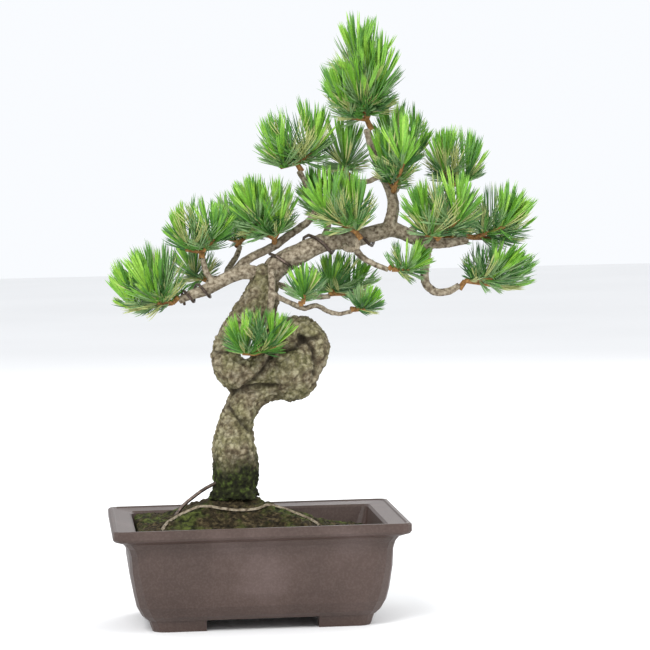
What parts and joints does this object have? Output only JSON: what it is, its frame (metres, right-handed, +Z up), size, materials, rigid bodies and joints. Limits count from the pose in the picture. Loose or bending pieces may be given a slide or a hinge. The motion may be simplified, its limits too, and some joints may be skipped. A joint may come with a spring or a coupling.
{
  "type": "potted white pine bonsai",
  "caption": "Japanese white pine bonsai in a rectangular unglazed tray on corner feet: coiled trunk with a burl, wired boughs and tufts of needles.",
  "frame": {"origin": "on the table plane under the feet, below the middle of the whole tree's box", "axes": "+Z up, -Y towards the front of the tree, +X to the right seen from the front"},
  "size_m": [0.303, 0.15, 0.4156],
  "materials": {
    "pot": "matt unglazed",
    "soil": "matt, grainy",
    "bark": "rough bark",
    "twig": "smooth grey bark",
    "needles": "satin",
    "wire": "matt brown coat"
  },
  "bodies": {
    "root": {"pot": "pot", "soil": "soil", "trunk": "bark", "main_limb": "twig", "left_bough": "twig", "back_bough": "twig", "leader": "twig", "upper_inner_twig": "twig", "front_spur": "twig", "right_under_twig": "twig", "front_twig": "twig", "low_front_twig": "twig", "low_right_twig": "twig", "under_twig": "twig", "left_mid_twig": "twig", "left_back_twig": "twig", "droop_upper": "twig", "droop_lower": "twig", "right_front_spur": "twig", "right_high_twig": "twig", "back_left_twig": "twig", "back_centre_twig": "twig", "back_right_twig": "twig", "back_upper_twig": "twig", "surface_root": "twig", "wire_main_limb": "wire", "wire_left_bough": "wire", "anchor_wire": "wire", "needles_apex": "needles", "needles_upper_left": "needles", "needles_upper_inner": "needles", "needles_leader_front": "needles", "needles_front": "needles", "needles_right_high": "needles", "needles_right_front": "needles", "needles_right_far": "needles", "needles_right_low": "needles", "needles_left_inner": "needles", "needles_left_mid": "needles", "needles_left_tip": "needles", "needles_left_back": "needles", "needles_low_front": "needles", "needles_lowest": "needles", "needles_under": "needles", "needles_low_right": "needles", "needles_right_under": "needles", "needles_back_left": "needles", "needles_back_centre": "needles", "needles_back_right": "needles", "needles_back_upper": "needles"}
  },
  "joints": []
}
